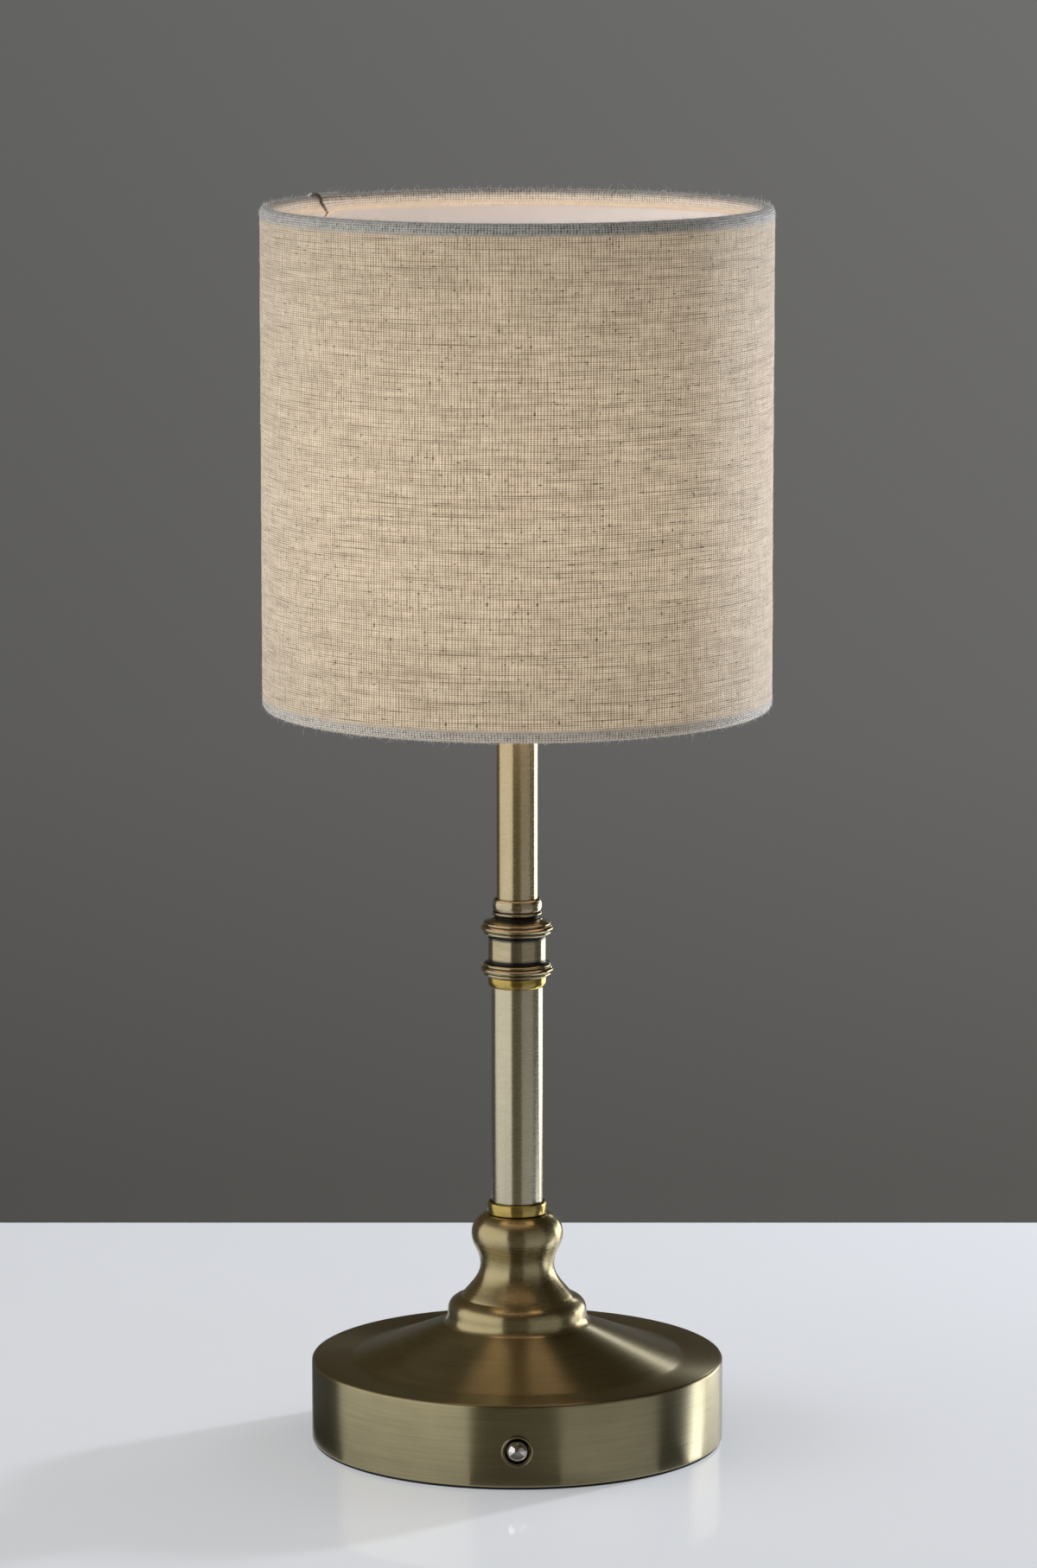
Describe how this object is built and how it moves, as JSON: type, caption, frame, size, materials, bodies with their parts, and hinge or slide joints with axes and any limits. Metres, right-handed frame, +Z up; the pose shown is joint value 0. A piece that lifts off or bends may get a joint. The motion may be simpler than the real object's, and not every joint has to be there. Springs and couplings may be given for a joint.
{
  "type": "cordless table lamp",
  "caption": "Cordless table lamp: linen drum shade on a turned brass column, round weighted base with a push button and a charging socket.",
  "frame": {"origin": "centre of the foot pad, on the table", "axes": "+Z up along the column, -Y towards the front, where the push button is"},
  "size_m": [0.1552, 0.1552, 0.3814],
  "materials": {
    "antique_brass": "antiqued and brushed round the axis, satin lacquer",
    "pale_brass": "paler plating, brushed round the axis",
    "bright_brass": "polished",
    "chrome": "polished",
    "steel": "zinc plated",
    "cast_iron": "as cast, oiled",
    "aluminium": "machined",
    "foam": "fine closed-cell foam",
    "black_plastic": "moulded, fine spark texture",
    "white_plastic": "moulded, satin",
    "circuit_board": "green solder mask",
    "white_board": "white solder mask",
    "led_phosphor": "yellow phosphor gel",
    "frosted_plastic": "frosted, lets light through",
    "cell_wrap": "shrink-wrapped in blue film",
    "red_insulation": "smooth cable insulation",
    "black_insulation": "smooth cable insulation",
    "linen": "oatmeal plain-weave linen with slubs",
    "liner": "smooth white film, lets light through",
    "white_enamel": "white powder coat"
  },
  "bodies": {
    "lamp": {"base_shell": "antique_brass", "foot_pad": "foam", "bottom_plate": "steel", "ballast_disc": "cast_iron", "base_washer": "steel", "base_nut": "steel", "foot_screw_1": "steel", "foot_screw_2": "steel", "foot_screw_3": "steel", "inner_tray": "black_plastic", "battery_cell": "cell_wrap", "battery_contact_plus": "steel", "battery_contact_minus": "steel", "control_board": "circuit_board", "lead_terminal": "white_plastic", "charging_socket": "steel", "charging_light": "white_plastic", "board_screw_1": "steel", "board_screw_2": "steel", "button_bezel": "chrome", "button_nut": "steel", "button_spring": "steel", "switch_body": "black_plastic", "switch_board": "circuit_board", "neck": "antique_brass", "neck_ring": "bright_brass", "lower_tube": "pale_brass", "knuckle_cap": "bright_brass", "knuckle": "antique_brass", "tube_collar": "antique_brass", "upper_tube": "antique_brass", "threaded_rod": "steel", "lamp_head": "antique_brass", "head_washer": "steel", "head_nut": "steel", "heat_sink": "aluminium", "led_board": "white_board", "light_diffuser": "frosted_plastic", "shade_lock_ring": "black_plastic", "light_lead_minus": "black_insulation", "light_lead_plus": "red_insulation", "switch_lead_minus": "black_insulation", "switch_lead_plus": "red_insulation", "battery_lead_minus": "black_insulation", "battery_lead_plus": "red_insulation", "shade_linen": "linen", "shade_liner": "liner", "shade_top_ring": "steel", "shade_lower_ring": "steel", "shade_fitter": "white_enamel", "led_chip_1": "led_phosphor", "led_chip_2": "led_phosphor", "led_chip_3": "led_phosphor", "led_chip_4": "led_phosphor", "led_chip_5": "led_phosphor", "led_chip_6": "led_phosphor"},
    "button": {"button_cap": "chrome", "button_clip": "steel", "switch_plunger": "white_plastic"}
  },
  "joints": [
    {"name": "button_press", "type": "slide", "parent": "lamp", "child": "button", "axis": [0, 1, 0], "range_m": [0, 0.0012], "stiffness_N_per_m": 800, "springref_m": -0.001, "deforming": ["button_spring"]}
  ]
}
